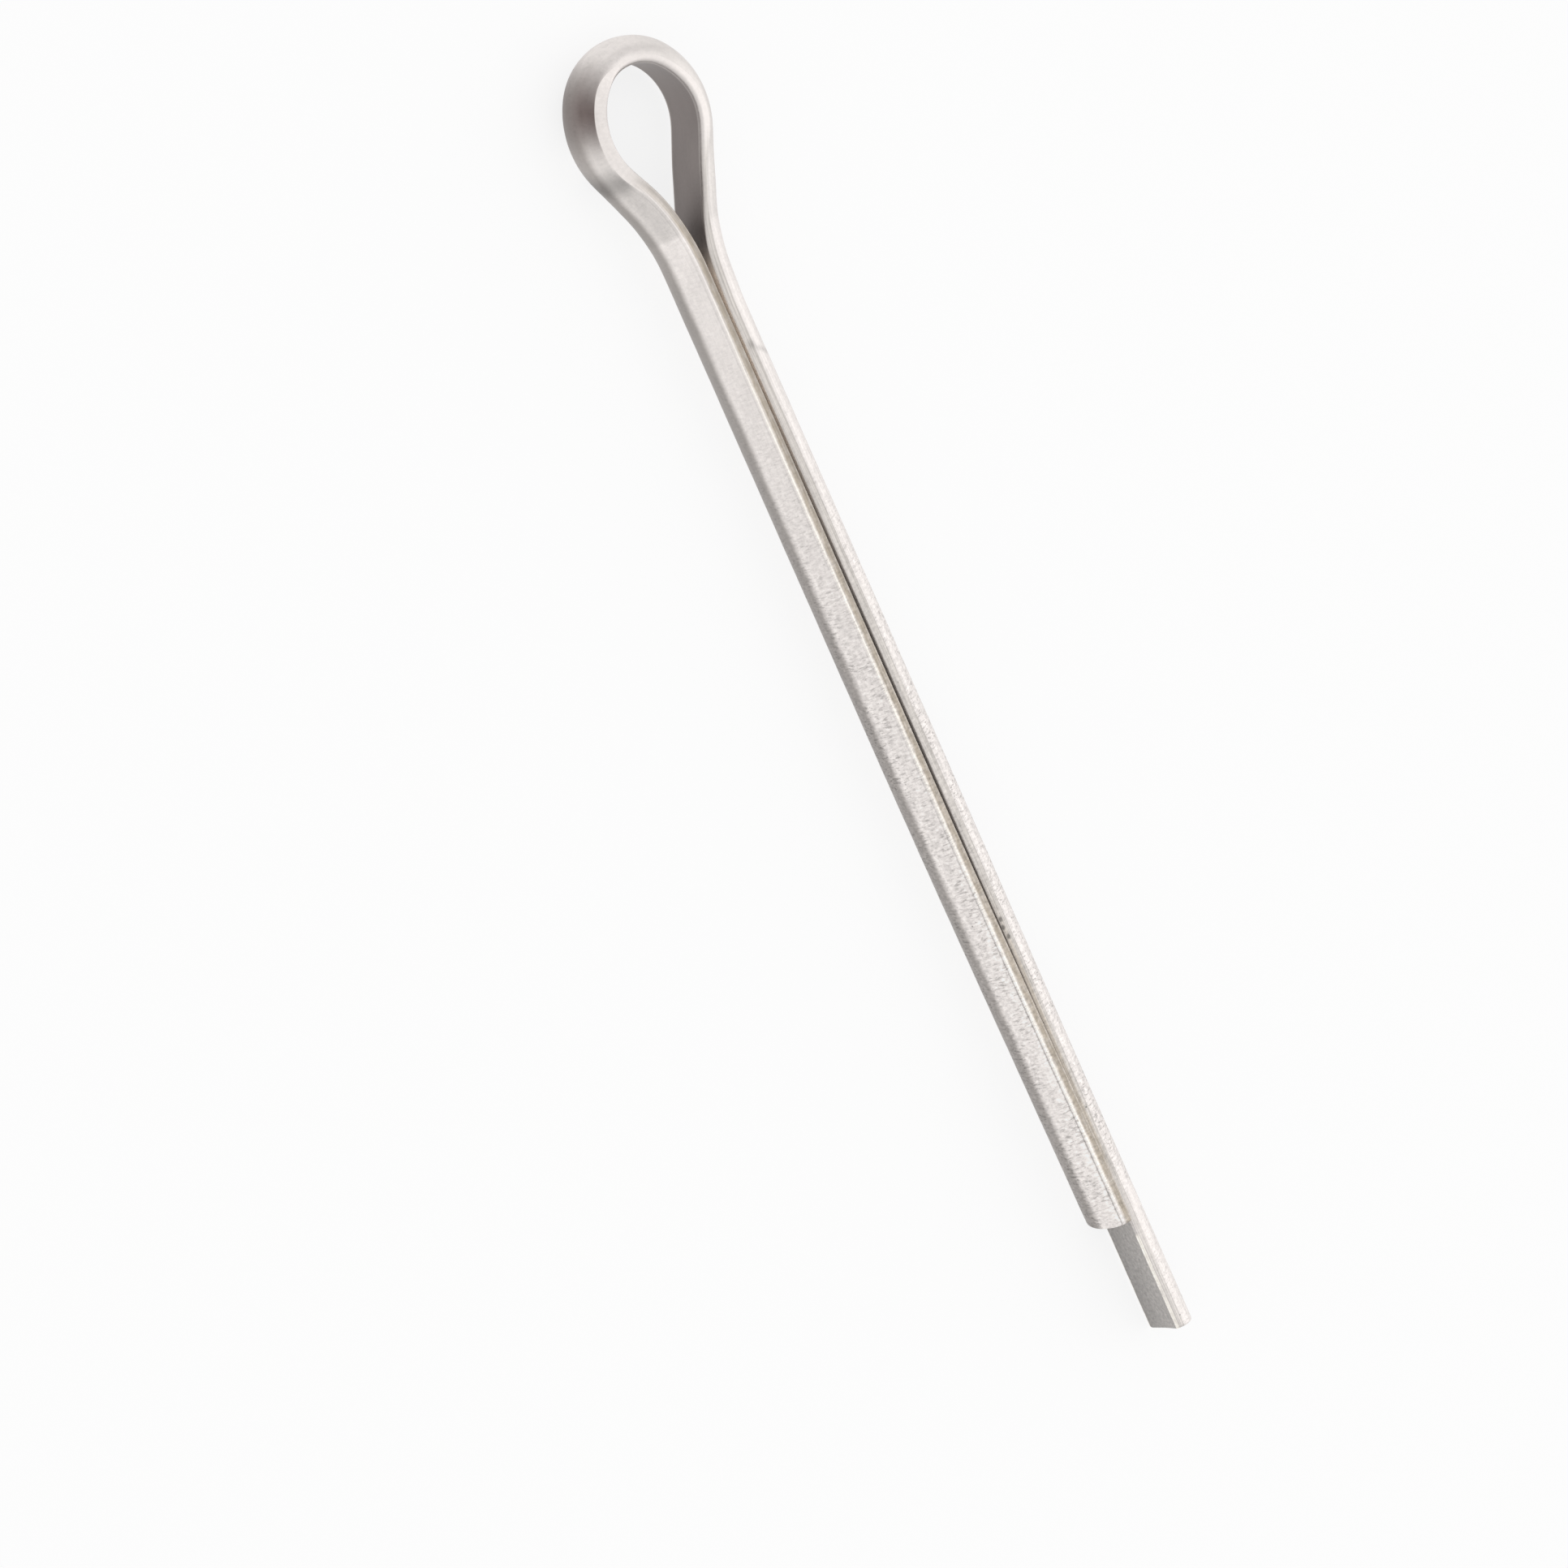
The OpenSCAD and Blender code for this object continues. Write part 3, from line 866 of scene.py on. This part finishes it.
def uneven_tone(w):
    """Clouds, grain, specks and the die's lines, about a tone near 1."""
    tone = PLAIN_TONE + BACK_BRIGHT * w.leg * w.short * w.back + CLOUD_TONE * swing(w.cloud)
    grained = GRAIN_TONE + GRAIN_LEG * w.leg + GRAIN_WORKED * w.worked
    speckled = between(*SPECK_WORKED, w.worked) * between(SPECK_LONG, 1, w.short)
    speckled = speckled * between(1, SPECK_INNER, w.inner)
    uneven = swing(w.grain) * grained + swing(w.specks) * speckled
    tone = tone + uneven * (1 + w.tip * between(*TIP_UNEVEN, w.inner))
    lined = between(LINES_LONG, LINES_SHORT, w.short) + LINES_SIDE * w.side_flat
    return tone + swing(w.lines) * w.leg * lined * (1 - w.inner)


# Painted shade and light on the inner face: its tone, more than 1, at its upper edge and at
# its lower one, and the places round the wire between which it changes
INNER_SHADE_TONE = (0.13, -0.14)
INNER_AROUND = (2.4, 5.0)
# Painted highlight on the short leg's back beside its crease: how much brighter, and the
# turns between which
UPPER_HIGHLIGHT = 0.12
UPPER_TURNS = (44.0, 62.0)
# Painted shade on its side towards its inner edge: how much darker, near the neck and
# further on, and the distances below the crease between which
LOWER_SHADE = (0.26, 0.10)
LOWER_BELOW = (0.16, 0.40)


def leg_painted_shades(w):
    """Broad painted shade and highlights on the legs: painted shade makes the inner face a little
    darker towards its lower edge, a painted highlight brightens the short leg's back beside its
    crease, and painted shade darkens its side towards its inner edge, most of all near the neck."""
    shade = 1 + w.inner * w.leg * between(*INNER_SHADE_TONE, w.around.step(*INNER_AROUND))
    upper = w.run.step(*UPPER_IN) * w.turn.step(*UPPER_TURNS) * w.short * w.back
    lower = w.side_flat * w.short * w.leg * w.below.step(*LOWER_BELOW)
    lower = lower * between(*LOWER_SHADE, w.run.step(*LOWER_OUT))
    return shade * (1 + UPPER_HIGHLIGHT * upper) * (1 - lower)


# The short leg's brighter patch: the stretches over which it begins and ends
FRESH_IN = (BEND_MARK - 0.1, BEND_MARK + 0.1)
FRESH_OUT = (BEND_MARK + 0.4, BEND_MARK + 3.1)
FRESH_BRIGHT = 0.08
# The long leg's line: its slant, half its width, the distances from the crease over which
# it comes in, and how dark it is
LINE_SLANT = 0.6
LINE_REACH = 0.28
LINE_IN = (-0.05, 0.1)
LINE_DARK = 0.2
# The soft spot beside the line, as (place, reach) along the wire and from the crease
SPOT_ALONG = (LONG_MARK - 0.2, 0.4)
SPOT_ACROSS = (-0.12, 0.3)
SPOT_DARK = 0.3
# Painted shade on the back beside the long leg's crease, as (distance, reach), and its
# strength at first and at last
CREASE_SHADE = (0.04, 0.2)
CREASE_SHADE_DARK = (0.14, 0.08)


def tool_marks_and_crease_shade(w):
    """What the bending tool left: a brighter patch past its mark on the short leg, and on
    the long one a slanting line and a soft spot; and painted shade on the back beside the long
    leg's crease."""
    fresh = w.run.step(*FRESH_IN) * (1 - w.run.step(*FRESH_OUT)) * w.short * w.back
    line = band(w.along - LINE_SLANT * w.from_crease, LONG_MARK, LINE_REACH)
    line = line * w.from_crease.step(*LINE_IN) * w.back
    spot = band(w.along, *SPOT_ALONG) * band(w.from_crease, *SPOT_ACROSS)
    marks = (LINE_DARK * line + SPOT_DARK * spot) * w.long
    # Painted shade beside the long leg's crease
    crease_painted_shade = band(w.from_crease, *CREASE_SHADE) * w.leg * w.long
    crease_painted_shade = crease_painted_shade * between(*CREASE_SHADE_DARK, w.run.step(*CREASE_SHADE_OUT))
    return (1 + FRESH_BRIGHT * fresh) * (1 - marks) * (1 - crease_painted_shade)


# The painted shade line beside the short leg's crease, as (distance from the crease, reach),
# how far the grain frays it, and how dark it is at first and at last
BESIDE = (0.12, 0.06)
BESIDE_FRAY = 0.1
BESIDE_SHADE = (0.1, 0.44)
# The painted shade line beside the painted highlight on the long leg's inner edge: the
# distances below the crease between which it comes in, and how dark it is, with how much
# the painted light brightens the back there
LIP_BELOW = (0.08, 0.22)
LIP_SHADE = 0.14
TIP_HIGHLIGHT = 0.03


def edge_painted_shades(w):
    """Painted shade in fine dark lines: one on the back beside each of the short leg's creases,
    and one on the side beside the long leg's painted edge highlight, where painted light
    brightens the back too."""
    beside = band(w.from_crease + swing(w.grain) * BESIDE_FRAY, *BESIDE) * w.leg * w.short
    beside = beside * between(*BESIDE_SHADE, w.run.step(*BESIDE_IN))
    beside_lip = w.side_flat * (1 - w.rim) * w.below.step(*LIP_BELOW)
    return (1 - beside) * (1 + w.tip * (TIP_HIGHLIGHT * w.back - LIP_SHADE * beside_lip))


# How dark the dashes and the pits are, and how much fainter the dashes are at the long
# leg's tip
DASH_DARK = 0.35
DASH_TIP_FAINT = 0.6
PIT_DARK = 0.6
# How dark the painted shade on the flank is, and how bright the painted highlight on the
# cheek
FLANK_SHADE_DARK = 0.36
CHEEK_HIGHLIGHT_BRIGHT = 0.16
# Roughness of the plain steel, and what the grain, the clouds, the dashes, the side flats
# and the sheared ends add to it. In the gap the inner face is less metallic, under its
# painted light
ROUGH = 0.34
ROUGH_GRAIN = 0.14
ROUGH_CLOUD = 0.06
ROUGH_DASH = 0.1
ROUGH_SIDE = 0.05
ROUGH_CUT = 0.15
GAP_DULL = 0.65
# Strength of the relief and its height in metres, and the shares of that by which the grain,
# a leg's lines and the torn ends rise, and the dashes and the pits sink
RELIEF = 0.35
RELIEF_HEIGHT = 0.02 * MM
GRAIN_RISE = 0.5
LINES_RISE = 0.3
TORN_RISE = 0.8
DASH_SINK = 0.6
PIT_SINK = 0.9


def wire_finish():
    """Satin drawn steel. Lengthwise lines come from the die, short crosswise dashes from
    the rolls, the short leg's side flats hold a tan film, and the sheared ends are grey and
    grainy. Painted shade darkens the bends, the back's middle and the inner face, and painted
    highlights lie on the edges. The base colour is the steel's colour times its tone.
    Roughness and relief are sums of weighted masks."""
    material = bpy.data.materials.new("drawn_steel")
    material.use_nodes = True
    tree = material.node_tree
    tree.nodes.clear()
    w = Wire(tree)
    dash, pits = roll_marks(w), pit_marks(w)
    bend, cheek_painted_shade, flank_painted_shade, cheek_painted_highlight = bend_painted_light(w)
    # Besides the real marks, the tone carries painted shade and highlights on the legs and edges
    tone = uneven_tone(w) * leg_painted_shades(w) * tool_marks_and_crease_shade(w) * edge_painted_shades(w)
    tone = tone * (1 - DASH_DARK * dash * (1 - DASH_TIP_FAINT * w.tip))
    tone = tone * (1 - PIT_DARK * pits.math("MINIMUM", pits, 1.0))
    # Painted shade on the flank and a painted highlight on the cheek
    tone = tone * (1 - FLANK_SHADE_DARK * flank_painted_shade) * (1 + CHEEK_HIGHLIGHT_BRIGHT * cheek_painted_highlight)
    colour = {0: steel_colour(w, bend, cheek_painted_shade), "Scale": tone}
    rough = ROUGH + ROUGH_GRAIN * w.grain + ROUGH_CLOUD * w.cloud + ROUGH_DASH * dash
    rough = rough + ROUGH_SIDE * w.side_flat + ROUGH_CUT * w.cut
    height = GRAIN_RISE * w.grain + LINES_RISE * w.lines * w.leg
    height = height - DASH_SINK * dash - PIT_SINK * pits + TORN_RISE * w.noise("torn") * w.cut
    bump = {"Height": height, "Strength": RELIEF, "Distance": RELIEF_HEIGHT}
    shader = node(tree, "ShaderNodeBsdfPrincipled", {}, {
        "Base Color": node(tree, "ShaderNodeVectorMath", {"operation": "SCALE"}, colour),
        "Roughness": rough,
        "Metallic": 1 - GAP_DULL * w.inner * w.run.step(*HIDDEN_IN),
        "Normal": node(tree, "ShaderNodeBump", {}, bump),
    })
    node(tree, "ShaderNodeOutputMaterial", {}, {"Surface": shader})
    return material


# The wire stands for the plain solid
pin = build_wire("drawn_wire")
pin.data.materials.append(wire_finish())
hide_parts("cotter_pin")
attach(pin, "root")

# Where the camera stands: its tilt, swing and roll in degrees, and in millimetres its
# distance from a point on the legs and how far that point is from the middle of the view
VIEW_TILT = 65.5965
VIEW_SWING = 14.8489
VIEW_ROLL = 23.9788
VIEW_DISTANCE = 507.51
VIEW_AT = (31.5 - MID_X, -MID_Y, MID_Z)
VIEW_RIGHT = 4.3848
VIEW_DOWN = -4.6333
# The lens and the sensor's width in millimetres, and the nearest and furthest that the
# camera sees, in metres
LENS = 251.866
SENSOR = 36.0
CLIP = (0.01, 100)


def placed(obj, right, up, back, place):
    """Puts an object into the scene at a place, with its own axes along right, up, back."""
    bpy.context.scene.collection.objects.link(obj)
    columns = np.eye(4)
    columns[:3] = np.stack([right, up, back, place], 1)
    obj.matrix_world = Matrix(columns.tolist())


def place_camera():
    """Camera looking along -v. v rises from the floor's plane by the tilt and leans from the
    pin's cross plane by the swing: (-sin s, -cos s cos t, cos s sin t). The roll turns the
    view about v."""
    tilt, swing, roll = (math.radians(a) for a in (VIEW_TILT, VIEW_SWING, VIEW_ROLL))
    v = np.array([
        -math.sin(swing), -math.cos(swing) * math.cos(tilt), math.cos(swing) * math.sin(tilt),
    ])
    along = np.array([1.0, 0, 0]) - v[0] * v
    along /= np.linalg.norm(along)
    across = np.cross(v, along)
    right = along * math.sin(roll) + across * math.cos(roll)
    down = along * math.cos(roll) - across * math.sin(roll)
    place = np.array(VIEW_AT) - right * VIEW_RIGHT - down * VIEW_DOWN + v * VIEW_DISTANCE
    data = bpy.data.cameras.new("camera")
    data.sensor_width, data.lens = SENSOR, LENS
    data.clip_start, data.clip_end = CLIP
    camera = bpy.data.objects.new("camera", data)
    placed(camera, right, -down, v, place * MM)
    bpy.context.scene.camera = camera


def soft_box(name, direction, distance, size, brightness):
    """Square lamp that faces the pin from a direction. Its power is pi times its area
    times its brightness, which adds to the room's."""
    d = np.array(direction, float) / np.linalg.norm(direction)
    data = bpy.data.lights.new(name, "AREA")
    data.shape, data.size, data.energy = "SQUARE", size, math.pi * size**2 * brightness
    side = np.cross([0, 0, 1], d)
    side /= np.linalg.norm(side)
    placed(bpy.data.objects.new(name, data), side, np.cross(d, side), d, d * distance)


# The floor's half size in metres, its paper, the rays that see its own white, and how far
# that white lifts the shadow
FLOOR_HALF = 3.0
PAPER = (0.97, 0.97, 0.97, 1)
SEEN_BY = ("Is Camera Ray", "Is Glossy Ray", "Is Transmission Ray")
FLOOR_WHITE = 0.8
# The room's brightness, and the soft boxes above, behind and before the pin: direction,
# distance and size in metres, and brightness
ROOM_WHITE = 0.80
SOFT_BOXES = {
    "top_box": ((0.26, 0.40, 0.88), 1.1, 1.0, 0.3),
    "back_box": ((0.3, 1.0, 0.35), 1.1, 1.2, 0.5),
    "front_box": ((-0.1, -0.8, 0.5), 1.1, 1.2, 0.15),
}


def white_paper():
    """Pale matt paper, which the rays in SEEN_BY see partly as plain white."""
    paper = bpy.data.materials.new("white_paper")
    paper.use_nodes = True
    tree = paper.node_tree
    tree.nodes.clear()
    diffuse = node(tree, "ShaderNodeBsdfDiffuse", {}, {"Color": PAPER})
    white = node(tree, "ShaderNodeEmission", {}, {"Strength": 1.0})
    camera, *others = (node(tree, "ShaderNodeLightPath", out=ray) for ray in SEEN_BY)
    seen = camera
    for ray in others:
        seen = seen.math("MAXIMUM", seen, ray)
    sheet = node(tree, "ShaderNodeMixShader", {}, {0: seen * FLOOR_WHITE, 1: diffuse, 2: white})
    node(tree, "ShaderNodeOutputMaterial", {}, {"Surface": sheet})
    return paper


def make_studio():
    """Pale floor, pale room and soft boxes."""
    mesh = bpy.data.meshes.new("floor")
    h = FLOOR_HALF
    mesh.from_pydata([(-h, -h, 0), (h, -h, 0), (h, h, 0), (-h, h, 0)], [], [(0, 1, 2, 3)])
    mesh.materials.append(white_paper())
    floor = bpy.data.objects.new("floor", mesh)
    bpy.context.scene.collection.objects.link(floor)
    world = bpy.data.worlds.new("room")
    world.use_nodes = True
    background = world.node_tree.nodes["Background"].inputs
    background["Color"].default_value = (1, 1, 1, 1)
    background["Strength"].default_value = ROOM_WHITE
    bpy.context.scene.world = world
    for name, box in SOFT_BOXES.items():
        soft_box(name, *box)


place_camera()
make_studio()
bpy.context.scene.view_settings.view_transform = "Standard"
